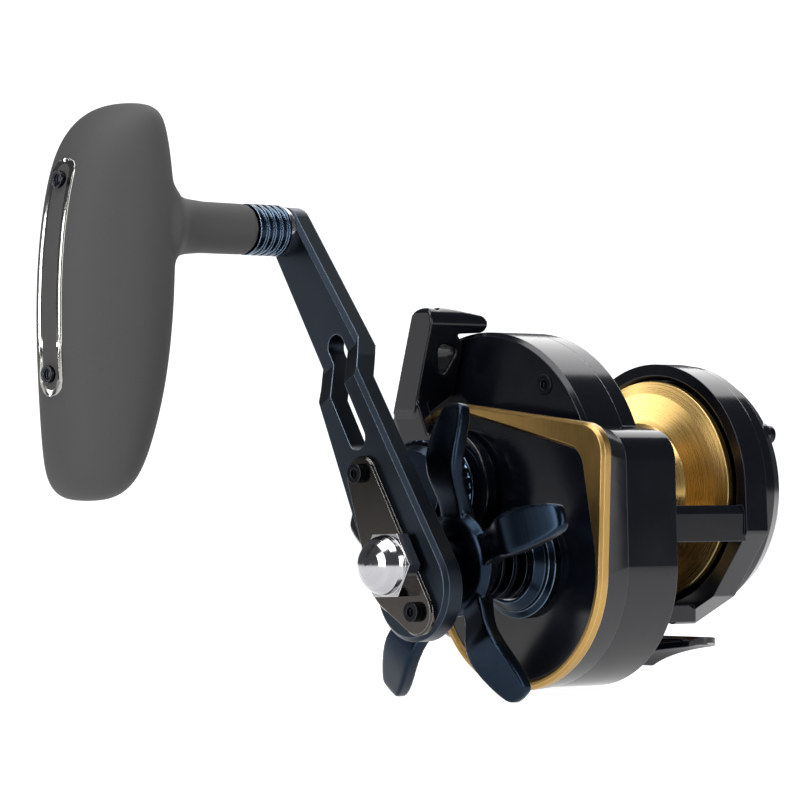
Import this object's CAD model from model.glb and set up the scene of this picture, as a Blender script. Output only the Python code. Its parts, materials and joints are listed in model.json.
# %% [markdown]
# # A trolling reel, dressed for the studio
#
# The reel comes in as a finished metal frame: every plate, gear and screw already has its true
# shape and its place in metres. What is left is the looking part: the finish of each piece, the
# pieces that are softer or more rounded than a machinist's drawing, and the studio around them.
# The row frame is the one the reel was drawn in: +X along the spool away from the handle,
# -Y towards the rod tip, +Z up, with zero at the middle of the foot's seat.

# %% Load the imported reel
import json
import math
import bpy
from mathutils import Matrix, Vector


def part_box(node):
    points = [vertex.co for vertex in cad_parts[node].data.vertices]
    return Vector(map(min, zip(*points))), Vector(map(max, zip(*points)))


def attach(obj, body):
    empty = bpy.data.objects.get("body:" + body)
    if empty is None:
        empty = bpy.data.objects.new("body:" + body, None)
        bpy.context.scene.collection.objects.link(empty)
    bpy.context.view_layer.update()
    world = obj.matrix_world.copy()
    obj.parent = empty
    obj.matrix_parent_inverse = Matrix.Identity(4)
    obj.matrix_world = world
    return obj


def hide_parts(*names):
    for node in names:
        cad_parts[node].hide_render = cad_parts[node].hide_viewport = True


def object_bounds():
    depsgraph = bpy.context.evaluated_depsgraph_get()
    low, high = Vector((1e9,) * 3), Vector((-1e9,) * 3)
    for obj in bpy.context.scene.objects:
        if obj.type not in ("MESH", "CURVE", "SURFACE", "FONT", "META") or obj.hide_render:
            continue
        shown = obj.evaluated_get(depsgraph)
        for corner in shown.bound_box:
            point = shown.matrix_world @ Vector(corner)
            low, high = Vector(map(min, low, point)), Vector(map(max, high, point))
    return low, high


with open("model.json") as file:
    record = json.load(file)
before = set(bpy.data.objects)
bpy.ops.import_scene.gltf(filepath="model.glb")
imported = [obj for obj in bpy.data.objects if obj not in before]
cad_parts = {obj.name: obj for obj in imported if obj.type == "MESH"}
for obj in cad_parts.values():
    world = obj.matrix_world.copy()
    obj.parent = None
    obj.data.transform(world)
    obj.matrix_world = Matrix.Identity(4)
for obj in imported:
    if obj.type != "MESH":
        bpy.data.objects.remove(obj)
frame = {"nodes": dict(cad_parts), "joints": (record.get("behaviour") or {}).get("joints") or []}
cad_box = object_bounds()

nodes = frame["nodes"]
MM = 0.001
print("reel box in mm:", [round((b - a) / MM, 1) for a, b in zip(*cad_box)])

# %% [markdown]
# ## The axes that everything turns about
#
# Four lines carry the whole reel: the spool's shaft, the drive shaft below and in front of it,
# and the knob's spindle at the end of the handle arm. They are read from the joints of the frame,
# so a piece that is modelled here can never sit beside its shaft.

# %% Find the shafts
joints = {joint["name"]: joint for joint in frame["joints"]}
SPOOL_AXIS = Vector(joints["spool_spin"]["pos_m"])
DRIVE_AXIS = Vector(joints["handle_spin"]["pos_m"])
KNOB_AXIS = Vector(joints["knob_spin"]["pos_m"])
print("handle arm length in mm:", round((KNOB_AXIS - DRIVE_AXIS).length / MM, 1))

# %% [markdown]
# ## Colours and one way to add a shader node
#
# Colours are written as the hex values a screen would show, which are sRGB. Shaders want linear
# light, so one function turns one into the other. A second function adds any shader node: plain
# values and links go to its sockets, and settings such as a noise type go to the node itself.

# %% Colour and node helpers
def linear(code):
    """An sRGB hex colour as linear RGBA."""
    parts = [int(code[i:i + 2], 16) / 255 for i in (0, 2, 4)]
    return [p / 12.92 if p <= 0.04045 else ((p + 0.055) / 1.055) ** 2.4 for p in parts] + [1.0]


def add(tree, kind, inputs=None, **settings):
    """Add one shader node with its settings, plain values and links."""
    made = tree.nodes.new("ShaderNode" + kind)
    for name, choice in settings.items():
        setattr(made, name, choice)
    for socket, given in (inputs or {}).items():
        if isinstance(given, bpy.types.NodeSocket):
            tree.links.new(given, made.inputs[socket])
        else:
            made.inputs[socket].default_value = given
    return made


def start_material(name):
    """An empty material and its node tree."""
    made = bpy.data.materials.new(name)
    made.use_nodes = True
    made.node_tree.nodes.clear()
    return made, made.node_tree


def shade(tree, inputs):
    """Close a material: one Principled shader to the output."""
    shader = add(tree, "BsdfPrincipled", inputs)
    add(tree, "OutputMaterial", {"Surface": shader.outputs[0]})


def dress(material, *names):
    """Give CAD nodes a material in every slot they have."""
    for name in names:
        for slot in nodes[name].material_slots:
            slot.material = material

# %% [markdown]
# ## Black anodised aluminium
#
# The frame, plates and gear cover are machined, polished and hard anodised. The dyed oxide is a
# clear dark glass over metal: almost no colour of its own, and sharp reflections. It could be
# plain black gloss, but a real shell shows three more things: a faint orange-peel left by the
# polishing, fine scatter in the gloss from handling, and edges where the thin film on the corner
# catches light. The edge is found by comparing the true normal with one rounded over 0.35 mm.

# %% Black anodised shells
def rounded_edges(tree, radius, strength=1.0):
    """The normal rounded over a small radius, and a mask that is 1 on the edges."""
    soft = add(tree, "Bevel", {"Radius": radius}, samples=6)
    flat = add(tree, "NewGeometry")
    same = add(tree, "VectorMath", {0: soft.outputs["Normal"], 1: flat.outputs["Normal"]},
               operation="DOT_PRODUCT")
    mask = add(tree, "MapRange", {"Value": same.outputs["Value"], "From Min": 0.995, "From Max": 0.80,
                                  "To Min": 0.0, "To Max": strength})
    return soft.outputs["Normal"], mask.outputs["Result"]


def grain(tree, size, detail=3.0, stretch=(1, 1, 1)):
    """Noise over the piece with grains of one real size in metres, stretched if asked."""
    place = add(tree, "TexCoord")
    scaled = add(tree, "Mapping", {"Vector": place.outputs["Object"], "Scale": stretch})
    noise = add(tree, "TexNoise", {"Vector": scaled.outputs["Vector"], "Scale": 1 / size, "Detail": detail})
    return noise.outputs["Fac"]


def mixed(tree, factor, first, second):
    """A colour between two colours, each a fixed one or another node's."""
    blend = add(tree, "Mix", {0: factor, 6: first, 7: second}, data_type="RGBA")
    return blend.outputs[2]


def spread(tree, factor, low, high):
    """A value between low and high."""
    made = add(tree, "MapRange", {"Value": factor, "To Min": low, "To Max": high})
    return made.outputs["Result"]


def bump(tree, height, depth, normal):
    """A normal with small relief: depth is the real height of the relief in metres."""
    made = add(tree, "Bump", {"Height": height, "Distance": depth, "Normal": normal})
    return made.outputs["Normal"]


def black_anodised_aluminium():
    """Polished, dyed and sealed: near-black with sharp reflections and thin pale corners."""
    made, tree = start_material("black_anodised_aluminium")
    normal, edge = rounded_edges(tree, 0.35 * MM)
    handling = grain(tree, 9 * MM, 6)
    peel = grain(tree, 2.2 * MM, 2)
    colour = mixed(tree, edge, linear("06080E"), linear("2C3444"))
    shade(tree, {"Base Color": colour, "Roughness": spread(tree, handling, 0.10, 0.19), "Metallic": 0.0,
                 "Normal": bump(tree, peel, 0.003 * MM, normal), "Specular IOR Level": 0.4})
    return made


shells = black_anodised_aluminium()
dress(shells, "frame", "side_plate", "gear_cover", "left_plate", "clutch_lever", "reel_foot")
print("black shells dressed")

# %% [markdown]
# ## Blue anodised aluminium
#
# The star, the cast-control knob, the drag dial and the knob's collar are dyed dark blue over a
# bright machined surface, so the light that comes back has passed through the dye twice: the
# highlights themselves are blue. That is a metal with a dark blue colour, not a dark plastic.
# Turned pieces keep the lathe's fine rings, drawn here 0.35 mm apart so that they can be seen.

# %% Blue anodised controls
def lathe_rings(tree, axis_point, pitch):
    """Uneven fine rings about a line along X through a point: the marks that a lathe tool leaves."""
    place = add(tree, "TexCoord")
    centred = add(tree, "Mapping", {"Vector": place.outputs["Object"],
                                    "Location": (0, -axis_point.y, -axis_point.z)})
    parts = add(tree, "SeparateXYZ", {0: centred.outputs["Vector"]})
    across = add(tree, "CombineXYZ", {"Y": parts.outputs["Y"], "Z": parts.outputs["Z"]})
    radius = add(tree, "VectorMath", {0: across.outputs["Vector"]}, operation="LENGTH")
    rings = add(tree, "CombineXYZ", {"X": parts.outputs["X"], "Y": radius.outputs["Value"]})
    noise = add(tree, "TexNoise", {"Vector": rings.outputs["Vector"], "Scale": 1 / pitch, "Detail": 2.0})
    return noise.outputs["Fac"]


def blue_anodised_aluminium(name, axis_point):
    """Machined bright, dyed blue: coloured reflections and turning rings about its own shaft."""
    made, tree = start_material(name)
    normal, edge = rounded_edges(tree, 0.45 * MM)
    rings = lathe_rings(tree, axis_point, 0.35 * MM)
    tint = mixed(tree, grain(tree, 6 * MM), linear("18202B"), linear("222D3A"))
    colour = mixed(tree, edge, tint, linear("86A2BE"))
    shade(tree, {"Base Color": colour, "Metallic": 1.0, "Roughness": spread(tree, rings, 0.18, 0.30),
                 "Normal": bump(tree, rings, 0.004 * MM, normal)})
    return made


dress(blue_anodised_aluminium("blue_anodised_star", DRIVE_AXIS), "star_drag", "drag_dial")
dress(blue_anodised_aluminium("blue_anodised_cast_knob", SPOOL_AXIS), "cast_control_knob")
dress(blue_anodised_aluminium("blue_anodised_collar", KNOB_AXIS), "knob_collar")
print("blue controls dressed")

# %% [markdown]
# ## Satin handle arm
#
# The arm is cut from plate, bead blasted and dyed a duller blue-grey. Blasting leaves dimples
# about 0.15 mm across: too small to see one by one, so they are drawn at 0.3 mm. The chamfers were
# cut after blasting and stay brighter than the flats.

# %% Handle arm
def blasted_blue_aluminium():
    """Bead blasted plate under a blue-grey dye: a soft, wide highlight and bright chamfers."""
    made, tree = start_material("blasted_blue_aluminium")
    normal, edge = rounded_edges(tree, 0.4 * MM)
    dimples = grain(tree, 0.3 * MM, 2)
    cloud = grain(tree, 14 * MM, 4)
    flat_colour = mixed(tree, cloud, linear("20262E"), linear("2A3038"))
    colour = mixed(tree, edge, flat_colour, linear("6E8092"))
    shade(tree, {"Base Color": colour, "Metallic": 1.0, "Roughness": spread(tree, cloud, 0.30, 0.40),
                 "Normal": bump(tree, dimples, 0.006 * MM, normal)})
    return made


dress(blasted_blue_aluminium(), "handle_arm")

# %% [markdown]
# ## Gold anodised aluminium
#
# The bezel round the gear cover and the whole spool are gold. Both are metal under a clear gold
# dye. The spool is turned on a lathe, so its flanges show close rings and a highlight that runs
# across them. The bezel is a flat ring, brushed by a belt along one direction before it was dyed.

# %% Gold spool and bezel
def turned_gold_aluminium():
    """Lathe-turned and dyed gold: fine rings, a highlight stretched across them."""
    made, tree = start_material("turned_gold_aluminium")
    normal, edge = rounded_edges(tree, 0.3 * MM)
    rings = lathe_rings(tree, SPOOL_AXIS, 0.28 * MM)
    colour = mixed(tree, rings, linear("B8924E"), linear("D6B678"))
    colour = mixed(tree, edge, colour, linear("F3DCA6"))
    shade(tree, {"Base Color": colour, "Metallic": 1.0, "Roughness": spread(tree, rings, 0.20, 0.36),
                 "Normal": bump(tree, rings, 0.006 * MM, normal)})
    return made


def brushed_gold_aluminium():
    """Belt-brushed and dyed gold: long fine scratches along the brushing."""
    made, tree = start_material("brushed_gold_aluminium")
    normal, edge = rounded_edges(tree, 0.3 * MM)
    scratches = grain(tree, 0.25 * MM, 4, (1, 1, 0.06))
    colour = mixed(tree, scratches, linear("9C7B47"), linear("B89559"))
    colour = mixed(tree, edge, colour, linear("F0D7A0"))
    shade(tree, {"Base Color": colour, "Metallic": 1.0, "Roughness": spread(tree, scratches, 0.24, 0.42),
                 "Normal": bump(tree, scratches, 0.005 * MM, normal)})
    return made


dress(turned_gold_aluminium(), "spool")
dress(brushed_gold_aluminium(), "gold_trim")
print("gold dressed")

# %% [markdown]
# ## Bright and dark steel
#
# Inside and outside the reel there are four finishes of steel. Shafts, drag washers and bearings are
# turned stainless. The dome nut is polished and chromed, so it mirrors the room. The retainer
# plate and the strip on the grip are smoked chrome, darker than chrome but just as sharp. The
# socket screws and the spring washers behind the star are black oxide: dark, slightly rough, oiled.

# %% Steel finishes
def steel(name, dark, light, low, high, pitch, axis_point, wear="C9CBD0"):
    """Turned steel between two colours, as smooth as low and as rough as high."""
    made, tree = start_material(name)
    normal, edge = rounded_edges(tree, 0.2 * MM, 0.7)
    rings = lathe_rings(tree, axis_point, pitch)
    colour = mixed(tree, rings, linear(dark), linear(light))
    colour = mixed(tree, edge, colour, linear(wear))
    shade(tree, {"Base Color": colour, "Metallic": 1.0, "Roughness": spread(tree, rings, low, high),
                 "Normal": bump(tree, rings, 0.003 * MM, normal)})
    return made


def smoked_chrome(name, film):
    """Polished and plated under a smoke-grey film: a dark mirror with a few hairlines."""
    made, tree = start_material(name)
    normal, edge = rounded_edges(tree, 0.25 * MM, 0.6)
    hairlines = grain(tree, 0.2 * MM, 3, (1, 0.2, 0.04))
    colour = mixed(tree, edge, linear(film), linear("D9DADE"))
    shade(tree, {"Base Color": colour, "Metallic": 1.0, "Roughness": spread(tree, hairlines, 0.08, 0.18),
                 "Normal": bump(tree, hairlines, 0.001 * MM, normal)})
    return made


ON_SPOOL = ("spool_shaft", "spool_pin", "tension_shims", "clutch_cam", "pinion_yoke", "yoke_posts",
            "yoke_springs", "spool_bearing_right", "spool_bearing_left", "pinion_bearing")
ON_DRIVE = ("drive_shaft", "metal_washers", "clutch_shell", "clutch_rollers", "shaft_bearing_inner",
            "shaft_bearing_outer")
ON_KNOB = ("knob_spindle", "knob_washer", "knob_bearing_inner", "knob_bearing_outer")
dress(steel("turned_stainless_spool_side", "8E9094", "B9BBBF", 0.16, 0.30, 0.3 * MM, SPOOL_AXIS), *ON_SPOOL)
dress(steel("turned_stainless_drive_side", "8E9094", "B9BBBF", 0.16, 0.30, 0.3 * MM, DRIVE_AXIS), *ON_DRIVE)
dress(steel("turned_stainless_knob_side", "9C9EA2", "C9CBCF", 0.12, 0.22, 0.3 * MM, KNOB_AXIS), *ON_KNOB)
dress(steel("polished_chrome", "A2A2A5", "B4B4B7", 0.10, 0.16, 1.2 * MM, DRIVE_AXIS, "F2F2F4"), "handle_nut")
dress(steel("black_oxide_screws", "17181B", "24262B", 0.25, 0.40, 0.5 * MM, SPOOL_AXIS, "5A5D66"),
      "side_plate_screws", "left_plate_screws", "foot_screws", "retainer_screws", "knob_plate_screws")
dress(steel("black_oxide_washers", "14171D", "20252E", 0.16, 0.28, 0.3 * MM, DRIVE_AXIS, "56606E"),
      "spring_washers", "clutch_sleeve", "star_nut", "hub_spacer")
dress(smoked_chrome("smoked_chrome", "45423F"), "knob_plate", "retainer_plate")
print("steel dressed")

# %% [markdown]
# ## Gears and drag washers
#
# The main gear and the pinion are hobbed brass, dull between the teeth where grease sits. The drag
# washers are woven carbon fibre, two directions of 1.6 mm tows that pass over and under each other:
# a checker of squares, each square shaded along its own direction.

# %% Brass and carbon
def greased_brass():
    """Hobbed brass with grease in the low places."""
    made, tree = start_material("greased_brass")
    normal, edge = rounded_edges(tree, 0.15 * MM, 0.8)
    grease = grain(tree, 3.5 * MM, 5)
    colour = mixed(tree, grease, linear("8C6B2C"), linear("C29C4F"))
    colour = mixed(tree, edge, colour, linear("E8CF90"))
    shade(tree, {"Base Color": colour, "Metallic": 1.0, "Roughness": spread(tree, grease, 0.42, 0.24),
                 "Normal": bump(tree, grease, 0.01 * MM, normal)})
    return made


def woven_carbon():
    """Carbon cloth in resin: a 1.6 mm over-and-under weave."""
    made, tree = start_material("woven_carbon")
    place = add(tree, "TexCoord")
    flat = add(tree, "Mapping", {"Vector": place.outputs["Object"], "Rotation": (0.6, 0, 0),
                                 "Scale": (0, 1, 1)})
    weave = add(tree, "TexChecker", {"Vector": flat.outputs["Vector"], "Scale": 1 / (1.6 * MM)})
    threads = {"Vector": flat.outputs["Vector"], "Scale": 1 / (0.8 * MM)}
    tows = add(tree, "TexWave", threads, bands_direction="Y")
    other = add(tree, "TexWave", threads, bands_direction="Z")
    thread = mixed(tree, weave.outputs["Fac"], tows.outputs["Color"], other.outputs["Color"])
    level = add(tree, "RGBToBW", {"Color": thread})
    colour = mixed(tree, level.outputs["Val"], linear("101114"), linear("2B2D31"))
    normal, _ = rounded_edges(tree, 0.1 * MM)
    shade(tree, {"Base Color": colour, "Roughness": spread(tree, level.outputs["Val"], 0.45, 0.3),
                 "Normal": bump(tree, level.outputs["Val"], 0.02 * MM, normal)})
    return made


dress(greased_brass(), "drive_gear", "pinion_gear")
dress(woven_carbon(), "fibre_washers")

# %% [markdown]
# ## The grip's coating
#
# The grip is a light hollow knob with a soft matte coating, sprayed over a fine sand-like texture.
# It has no gloss to speak of, and shows a pale speckle when light rakes over it. The grains are
# about 0.25 mm; they are drawn at 0.45 mm.

# %% Soft-touch grip
def soft_touch_coating():
    """Matte grey rubbery paint over a sanded texture: broad soft shading and fine speckle."""
    made, tree = start_material("soft_touch_coating")
    normal, edge = rounded_edges(tree, 0.8 * MM, 0.5)
    sand = grain(tree, 0.45 * MM, 4)
    cloud = grain(tree, 22 * MM, 3)
    colour = mixed(tree, sand, linear("303030"), linear("424242"))
    colour = mixed(tree, cloud, colour, linear("3B3B3B"))
    colour = mixed(tree, edge, colour, linear("4C4C4C"))
    shade(tree, {"Base Color": colour, "Roughness": spread(tree, sand, 0.62, 0.78),
                 "Specular IOR Level": 0.35, "Normal": bump(tree, sand, 0.03 * MM, normal)})
    return made


dress(soft_touch_coating(), "knob_grip")
print("every CAD node has a finish:", all(len(n.data.materials) for n in nodes.values()))

# %% [markdown]
# ## The grip
#
# The real grip is a light moulded shell, a barrel squeezed flat, that grows out of its round stem
# through a wide fillet. It could be a scaled sphere, but its two ends differ: at the top the corner
# near the arm is tight and the outer one sweeps round, and at the bottom it is the other way about.
# So it is lofted: one ring is extruded upwards from station to station and resized at each, the way
# a boat's hull is drawn. The stem is lofted the same way along its spindle. Then both are melted
# into one skin by a voxel remesh, and smoothing turns their meeting line into the fillet.

# %% Lofting helpers
def deselect():
    """Nothing selected and nothing half edited."""
    if bpy.context.object and bpy.context.object.mode != "OBJECT":
        bpy.ops.object.mode_set(mode="OBJECT")
    bpy.ops.object.select_all(action="DESELECT")


def only(piece):
    """Select one piece and make it the active one."""
    deselect()
    piece.select_set(True)
    bpy.context.view_layer.objects.active = piece


def loft(name, rings, turn=(0, 0, 0), sides=12):
    """Extrude one ring through (centre, half sizes) stations, closed at both ends."""
    deselect()
    centre, half = rings[0]
    bpy.ops.mesh.primitive_circle_add(vertices=sides, radius=1.0, fill_type="NGON", location=centre,
                                      rotation=turn)
    piece = bpy.context.object
    piece.name = name
    bpy.ops.object.transform_apply(location=True, rotation=True, scale=True)
    bpy.ops.object.mode_set(mode="EDIT")
    bpy.ops.mesh.select_all(action="SELECT")
    bpy.ops.transform.resize(value=half, center_override=centre)
    for (old, before), (new, after) in zip(rings, rings[1:]):
        step = Vector(new) - Vector(old)
        bpy.ops.mesh.extrude_region_move(TRANSFORM_OT_translate={"value": step})
        ratio = [b / a for a, b in zip(before, after)]
        bpy.ops.transform.resize(value=ratio, center_override=new)
    bpy.ops.mesh.select_all(action="SELECT")
    bpy.ops.mesh.normals_make_consistent(inside=False)
    bpy.ops.object.mode_set(mode="OBJECT")
    return piece


def finish_with(piece, kind, **settings):
    """Add a modifier with its settings and apply it."""
    only(piece)
    made = piece.modifiers.new(kind.title(), kind)
    for name, choice in settings.items():
        setattr(made, name, choice)
    bpy.ops.object.modifier_apply(modifier=made.name)


def melt(pieces, name, voxel, passes):
    """Join closed shapes into one smooth skin."""
    only(pieces[0])
    if len(pieces) > 1:
        for piece in pieces:
            piece.select_set(True)
        bpy.ops.object.join()
    one = bpy.context.object
    one.name = name
    finish_with(one, "REMESH", mode="VOXEL", voxel_size=voxel)
    finish_with(one, "SMOOTH", factor=0.5, iterations=passes)
    only(one)
    bpy.ops.object.shade_smooth()
    return one


def wear(piece, material, body, slot, *hidden):
    """Give a new piece its finish and its body, and hide the CAD nodes that it stands for."""
    piece.data.materials.clear()
    piece.data.materials.append(material)
    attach(piece, body)
    if hidden:
        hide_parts(*hidden)
    print(piece.name, "faces:", len(piece.data.polygons))


# %% Grip
GRIP_LOW, GRIP_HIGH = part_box("knob_grip")
SUBDIVIDED = 1.045  # subdividing a twelve-sided ring shrinks it by this much
SECTIONS = [  # height from the knob's axis, outer edge, inner edge, half width, all in mm
    (-64.2, -139.6, -135.4, 2.6), (-63.4, -143.2, -131.0, 8.0), (-59.5, -145.9, -126.2, 11.6),
    (-52, -147.0, -122.4, 13.0), (-38, -148.2, -117.9, 14.1), (-22, -149.0, -115.6, 14.6),
    (-6, -148.4, -115.0, 14.6), (8, -146.0, -115.6, 14.3), (17, -142.9, -117.0, 13.6),
    (23, -138.4, -118.2, 12.0), (26.6, -133.2, -119.6, 9.2), (28.0, -128.0, -122.4, 3.6)]
rings = []
for height, outer, inner, width in SECTIONS:
    centre = ((outer + inner) / 2 * MM, KNOB_AXIS.y, KNOB_AXIS.z + height * MM)
    rings.append((centre, ((inner - outer) / 2 * MM * SUBDIVIDED, width * MM * SUBDIVIDED, 1.0)))
barrel = loft("barrel", rings)
finish_with(barrel, "SUBSURF", levels=3, render_levels=3)

STEM = [  # place along the spindle and radius, in mm
    (GRIP_HIGH.x / MM, 6.1), (-92, 6.1), (-104, 6.15), (-110, 6.7), (-113.5, 8.0), (-116.5, 10.6),
    (-119.5, 13.0), (-125, 11.0)]
stem = loft("stem", [((x * MM, KNOB_AXIS.y, KNOB_AXIS.z), (1.0, r * MM, r * MM)) for x, r in STEM],
            turn=(0, math.pi / 2, 0), sides=48)
grip = melt([barrel, stem], "soft_grip", 0.75 * MM, 14)
wear(grip, soft_touch_coating(), "knob", "soft_grip", "knob_grip")

# %% [markdown]
# ## The strip on the grip
#
# A smoked-chrome strip is let into the outer face of the grip and held by two small screws. It has
# rounded ends, a raised rim and a long groove down its middle, and it bends with the grip. It is
# drawn flat as a slot shape, cut across into short lengths so that it can bend, wrapped on to the
# grip's own surface, and only then given its thickness and its rolled edges.

# %% Strip
PLATE_LOW, PLATE_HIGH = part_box("knob_plate")
STRIP_TOP, STRIP_BOTTOM = PLATE_HIGH.z, PLATE_LOW.z
STRIP_HALF = 4.1 * MM
STRIP_Y = KNOB_AXIS.y
SCREW_FROM_END = 5.2 * MM


def slot_outline(name, x, y, low, high, half, sides=24):
    """A flat stadium shape facing -X, from one height to another."""
    deselect()
    bpy.ops.mesh.primitive_circle_add(vertices=sides, radius=half, fill_type="NGON",
                                      location=(x, y, low + half), rotation=(0, -math.pi / 2, 0))
    piece = bpy.context.object
    piece.name = name
    bpy.ops.object.transform_apply(location=True, rotation=True, scale=True)
    for vertex in piece.data.vertices:
        if vertex.co.z > low + half + 1e-6:
            vertex.co.z += high - low - 2 * half
    bpy.ops.object.mode_set(mode="EDIT")
    return piece


def cut_across(low, high, pitch):
    """Cut what is being edited at even heights, so that it can bend."""
    z = low + pitch
    while z < high:
        bpy.ops.mesh.select_all(action="SELECT")
        bpy.ops.mesh.bisect(plane_co=(0, 0, z), plane_no=(0, 0, 1))
        z += pitch


def pick_faces(piece, wanted):
    """In edit mode, select the faces for which wanted(face) is true."""
    bpy.ops.mesh.select_all(action="DESELECT")
    bpy.ops.object.mode_set(mode="OBJECT")
    count = 0
    for face in piece.data.polygons:
        face.select = wanted(face)
        count += face.select
    bpy.ops.object.mode_set(mode="EDIT")
    bpy.ops.mesh.select_mode(type="FACE")
    return count


strip = slot_outline("chrome_strip", GRIP_LOW.x - 4 * MM, STRIP_Y, STRIP_BOTTOM, STRIP_TOP, STRIP_HALF)
bpy.ops.mesh.select_all(action="SELECT")
bpy.ops.mesh.inset(thickness=0.7 * MM)
bpy.ops.mesh.inset(thickness=0.35 * MM)
cut_across(STRIP_BOTTOM, STRIP_TOP, 2.0 * MM)
bpy.ops.object.mode_set(mode="OBJECT")
finish_with(strip, "SHRINKWRAP", target=grip, wrap_method="PROJECT", use_project_x=True,
            use_positive_direction=True, use_negative_direction=False, offset=0.05 * MM)
bpy.ops.object.mode_set(mode="EDIT")
inner_faces = pick_faces(strip, lambda f: abs(f.center.y - STRIP_Y) < STRIP_HALF - 0.9 * MM
                         and STRIP_BOTTOM + 0.9 * MM < f.center.z < STRIP_TOP - 0.9 * MM)
bpy.ops.transform.translate(value=(0.35 * MM, 0, 0))
bpy.ops.object.mode_set(mode="OBJECT")
finish_with(strip, "SOLIDIFY", thickness=0.8 * MM, offset=0.0)
finish_with(strip, "BEVEL", width=0.12 * MM, segments=2, limit_method="ANGLE", angle_limit=math.radians(35))
only(strip)
bpy.ops.object.shade_smooth_by_angle(angle=math.radians(35))
wear(strip, smoked_chrome("strip_chrome", "9C9B96"), "knob", "gunmetal", "knob_plate")

for name, height in (("strip_screw_top", STRIP_TOP - SCREW_FROM_END),
                     ("strip_screw_bottom", STRIP_BOTTOM + SCREW_FROM_END)):
    near = [v.co.x for v in grip.data.vertices
            if abs(v.co.z - height) < 1.2 * MM and abs(v.co.y - STRIP_Y) < 1.2 * MM]
    face = min(near)
    deselect()
    bpy.ops.mesh.primitive_cylinder_add(vertices=40, radius=2.0 * MM, depth=1.5 * MM,
                                        rotation=(0, math.pi / 2, 0),
                                        location=(face - 0.35 * MM, STRIP_Y, height))
    screw = bpy.context.object
    screw.name = name
    bpy.ops.object.transform_apply(location=True, rotation=True, scale=True)
    bpy.ops.object.mode_set(mode="EDIT")
    pick_faces(screw, lambda f: f.normal.x < -0.9)
    bpy.ops.mesh.inset(thickness=0.35 * MM)
    bpy.ops.mesh.extrude_region_move(TRANSFORM_OT_translate={"value": (0.25 * MM, 0, 0)})
    bpy.ops.mesh.inset(thickness=0.5 * MM)
    bpy.ops.mesh.extrude_region_move(TRANSFORM_OT_translate={"value": (0.7 * MM, 0, 0)})
    bpy.ops.object.mode_set(mode="OBJECT")
    finish_with(screw, "BEVEL", width=0.1 * MM, segments=2, limit_method="ANGLE",
                angle_limit=math.radians(40))
    only(screw)
    bpy.ops.object.shade_smooth_by_angle(angle=math.radians(35))
    oiled = steel("oiled_screw_" + name, "17181B", "24262B", 0.2, 0.3, 0.5 * MM, KNOB_AXIS, "8A8D95")
    wear(screw, oiled, "knob", "stainless", "knob_plate_screws")
print("strip faces between the rims:", inner_faces)

# %% [markdown]
# ## The star
#
# The star is forged, then polished by hand until every edge is soft, which is why its highlights
# run along the arms like drops. A sawn plate with bevelled edges would look cheap beside it. One arm
# is lofted from the hub to its tip: it leaves the hub narrow, swings out past the handle's hub, is
# broadest two thirds along and comes back in at the tip. Five such arms, a fifth of a turn apart,
# are melted with a turned hub.

# %% Star
star_finish = blue_anodised_aluminium("polished_blue_star", DRIVE_AXIS)
ARM_SECTIONS = [  # distance from the shaft, middle of the thickness, half thickness, half width, in mm
    (6, -66.0, 2.6, 3.7), (11, -66.2, 2.4, 3.6), (14.5, -67.4, 2.1, 3.5), (18.5, -69.7, 1.9, 4.2),
    (22.5, -70.9, 1.85, 4.9), (27, -70.2, 1.9, 5.0), (32, -68.4, 1.9, 4.5), (36.2, -67.0, 1.7, 3.4),
    (37.6, -66.6, 1.3, 2.2)]
STAR_ARMS = 5
LONG_EDGE_CREASE = 0.78
SQUARE = math.sqrt(2)  # corner radius over half side of the square that is lofted
arms = []
for i in range(STAR_ARMS):
    rings = [((x * MM, 0, reach * MM), (thick * MM * SQUARE, wide * MM * SQUARE, 1.0))
             for reach, x, thick, wide in ARM_SECTIONS]
    arm = loft(f"arm_{i}", rings, turn=(0, 0, math.pi / 4), sides=4)
    bpy.ops.object.mode_set(mode="EDIT")
    bpy.ops.mesh.select_all(action="DESELECT")
    bpy.ops.object.mode_set(mode="OBJECT")
    corners = arm.data.vertices
    for edge in arm.data.edges:
        first, second = (corners[v].co for v in edge.vertices)
        edge.select = first.y * second.y > 0 and abs(first.z - second.z) > MM / 2
    bpy.ops.object.mode_set(mode="EDIT")
    bpy.ops.mesh.select_mode(type="EDGE")
    bpy.ops.transform.edge_crease(value=LONG_EDGE_CREASE)
    bpy.ops.object.mode_set(mode="OBJECT")
    finish_with(arm, "SUBSURF", levels=4, render_levels=4)
    arm.rotation_euler = (math.radians(360 / STAR_ARMS * i), 0, 0)
    arm.location = DRIVE_AXIS
    bpy.ops.object.transform_apply(location=True, rotation=True, scale=True)
    arms.append(arm)
HUB = [(-60.2, 7.6), (-61.2, 8.4), (-63.6, 9.6), (-65.4, 11.6), (-67.6, 12.4), (-69.2, 10.6), (-70.0, 8.2)]
hub = loft("hub", [((x * MM, DRIVE_AXIS.y, DRIVE_AXIS.z), (1.0, r * MM, r * MM)) for x, r in HUB],
           turn=(0, math.pi / 2, 0), sides=64)
star = melt(arms + [hub], "polished_star", 0.35 * MM, 4)
wear(star, star_finish, "star", "blue_anodised", "star_drag")

# %% [markdown]
# ## Marks on the drag dial
#
# The stepped dial behind the star carries a plain printed scale. Each mark is a bar of white ink
# a quarter of a millimetre wide, and every third one is longer. One bar is modelled for each
# length, then copied round the drive shaft, each copy with a mesh of its own, and all are joined.

# %% Dial scale
def printed_ink():
    """Screen-printed white ink: matte, slightly uneven where the mesh of the screen left it thin."""
    made, tree = start_material("printed_white_ink")
    screen = grain(tree, 0.25 * MM, 2)
    shade(tree, {"Base Color": mixed(tree, screen, linear("B9BCC0"), linear("E3E5E8")),
                 "Roughness": spread(tree, screen, 0.45, 0.6)})
    return made


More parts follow.
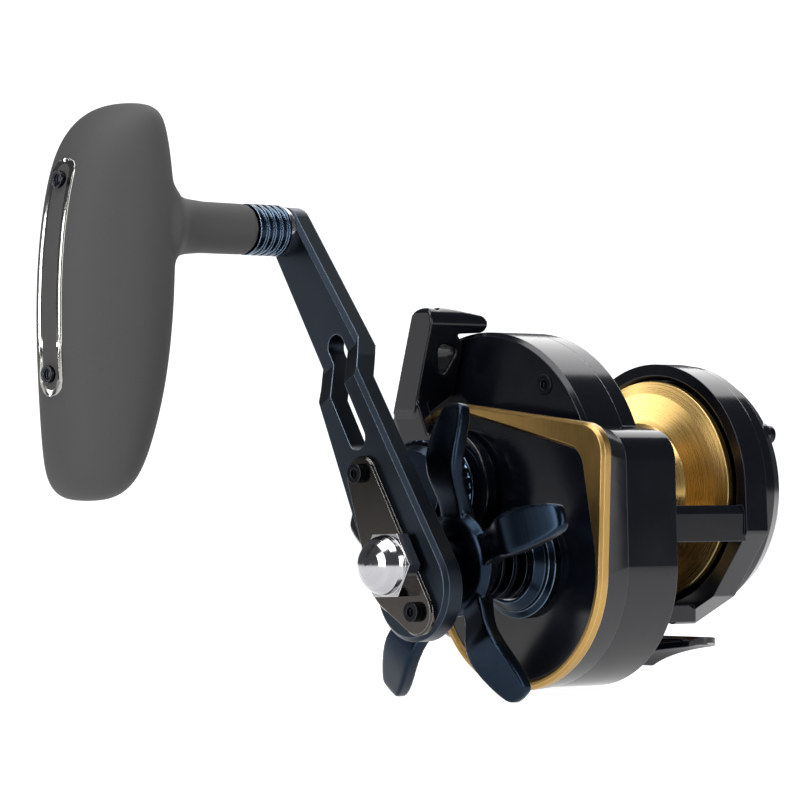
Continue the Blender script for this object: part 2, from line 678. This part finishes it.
DIAL_LOW, DIAL_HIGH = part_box("drag_dial")
DIAL_RADIUS = (DIAL_HIGH.y - DIAL_LOW.y) / 2
RIM_FACE = DIAL_HIGH.x - 3.1 * MM
MARKS, LONG_EVERY = 36, 3
MARK_DEPTH, MARK_WIDTH = 0.9 * MM, 0.26 * MM
marks = []
for i in range(MARKS):
    long = i % LONG_EVERY == 0
    deselect()
    bpy.ops.mesh.primitive_cube_add(size=1, location=(0, 0, DIAL_RADIUS - (2.35 if long else 2.05) * MM))
    mark = bpy.context.object
    mark.scale = (MARK_DEPTH, MARK_WIDTH, (1.0 if long else 0.5) * MM)
    bpy.ops.object.transform_apply(location=True, rotation=True, scale=True)
    finish_with(mark, "BEVEL", width=0.06 * MM, segments=2)
    mark.location = (RIM_FACE, DRIVE_AXIS.y, DRIVE_AXIS.z)
    mark.rotation_euler = (math.radians(360 / MARKS * i), 0, 0)
    bpy.ops.object.transform_apply(location=True, rotation=True, scale=True)
    marks.append(mark)
only(marks[0])
for mark in marks:
    mark.select_set(True)
bpy.ops.object.join()
scale = bpy.context.object
scale.name = "dial_scale"
wear(scale, printed_ink(), "frame", "stainless")

# %% [markdown]
# ## The free-spool lever
#
# The lever is a broad thumb blade, cast in one with its ring and then tumbled, so its corners are
# rounded but its faces stay flat. The drawn lever has the right outline and sharp corners. Its skin
# is copied, melted at a third of a millimetre and relaxed, which is what tumbling does to it.

# %% Lever
def tumbled_copy(node, name, voxel, passes):
    """A copy of a CAD node's skin with its corners rounded off."""
    deselect()
    piece = nodes[node].copy()
    piece.data = nodes[node].data.copy()
    piece.name = name
    piece.parent = None
    for key in list(piece.keys()):
        del piece[key]
    bpy.context.scene.collection.objects.link(piece)
    only(piece)
    bpy.ops.object.mode_set(mode="EDIT")
    bpy.ops.mesh.select_all(action="SELECT")
    bpy.ops.mesh.remove_doubles(threshold=0.000005)
    bpy.ops.object.mode_set(mode="OBJECT")
    return melt([piece], name, voxel, passes)


lever = tumbled_copy("clutch_lever", "thumb_lever", 0.3 * MM, 5)
wear(lever, black_anodised_aluminium(), "lever", "black_anodised", "clutch_lever")

# %% [markdown]
# ## The studio
#
# A glossy black object is lit by what it mirrors. Here that is a pale floor below, a dim room
# round about, and three soft boxes: a large one overhead that draws the pale top edges, a tall one
# on the left that models the grip, and a low one on the right. A fourth behind on the right draws
# the pale tops of the shells. Three more stand behind on the left, and each is linked to a few
# pieces only, the chrome strip, the gold spool and the blue controls, because it would turn every
# dark plate that faces the same way grey. The white backdrop is seen by the camera only, so that it
# does not wash the dark shells out.

# %% Floor and backdrop
def studio_white(name, colour, glow):
    """Matte pale paint, helped a little so that it stays even."""
    made, tree = start_material(name)
    cloud = grain(tree, 0.4, 2)
    paint = mixed(tree, cloud, linear("9A9A9A"), linear("A2A2A2"))
    shade(tree, {"Base Color": paint, "Roughness": 0.9, "Specular IOR Level": 0.1,
                 "Emission Color": linear(colour), "Emission Strength": glow})
    return made


bpy.ops.object.select_all(action="DESELECT")
bpy.ops.mesh.primitive_circle_add(vertices=96, radius=6.0, fill_type="NGON",
                                  location=(0, 0, cad_box[0].z - 0.4 * MM))
floor = bpy.context.object
floor.name = "floor"
floor.data.materials.append(studio_white("pale_floor", "FFFFFF", 0.96))

bpy.ops.mesh.primitive_uv_sphere_add(segments=64, ring_count=32, radius=5.9, location=(0, 0, 0))
backdrop = bpy.context.object
backdrop.name = "backdrop"
backdrop.data.materials.append(studio_white("white_backdrop", "FFFFFF", 1.0))
backdrop.visible_diffuse = False
backdrop.visible_glossy = False
backdrop.visible_transmission = False
backdrop.visible_shadow = False

# %% Room light and soft boxes
world = bpy.data.worlds.new("room")
world.use_nodes = True
world.node_tree.nodes["Background"].inputs["Color"].default_value = linear("DDE1E8")
world.node_tree.nodes["Background"].inputs["Strength"].default_value = 0.13
bpy.context.scene.world = world
bpy.context.scene.view_settings.view_transform = "Standard"


def soft_box(name, spot, aim, wide, high, watts):
    """A rectangular area light at one spot, aimed at a point."""
    bpy.ops.object.light_add(type="AREA", location=spot)
    lamp = bpy.context.object
    lamp.name = name
    lamp.data.shape = "RECTANGLE"
    lamp.data.size, lamp.data.size_y = wide, high
    lamp.data.energy = watts
    lamp.rotation_euler = (Vector(aim) - Vector(spot)).to_track_quat("-Z", "Y").to_euler()
    return lamp


middle = (cad_box[0] + cad_box[1]) / 2
soft_box("overhead", (-0.2, -0.1, 1.1), middle, 1.1, 1.1, 16)
soft_box("left_wall", (-1.15, -0.25, 0.40), middle, 0.5, 0.9, 9)
soft_box("right_wall", (0.35, -1.15, 0.30), middle, 0.5, 0.8, 6)
soft_box("back_right", (0.80, 0.46, 0.80), middle, 0.8, 0.8, 5.5)
BEHIND_LEFT = (-0.75, 0.85, 0.30)
kicker = soft_box("strip_kicker", (-0.715, 0.80, 0.10), (-0.149, 0.026, 0.09), 0.09, 0.5, 2.2)
spool_glow = soft_box("spool_glow", BEHIND_LEFT, SPOOL_AXIS, 0.8, 0.8, 10)
blue_glow = soft_box("blue_glow", BEHIND_LEFT, DRIVE_AXIS, 0.8, 0.8, 2)
for lamp, pieces in ((kicker, ("chrome_strip", "strip_screw_top", "strip_screw_bottom")),
                     (spool_glow, ("spool",)),
                     (blue_glow, ("polished_star", "handle_arm", "thumb_lever", "knob_collar"))):
    lit = bpy.data.collections.new("lit_by_" + lamp.name)
    for name in pieces:
        lit.objects.link(bpy.data.objects[name])
    lamp.light_linking.receiver_collection = lit

# %% [markdown]
# ## The camera
#
# A long lens from about a metre away keeps the grip and the shells in nearly true proportion. The
# camera stands at the height of the spool, forward of the handle side, and looks up by one degree.

# %% Camera
bpy.ops.object.camera_add(location=(-0.7671, -0.7804, 0.0395))
camera = bpy.context.object
camera.rotation_euler = Vector((0.669, 0.743, 0.018)).to_track_quat("-Z", "Y").to_euler()
camera.data.lens = 200.25
camera.data.sensor_width = 36
camera.data.clip_start = 0.05
bpy.context.scene.camera = camera
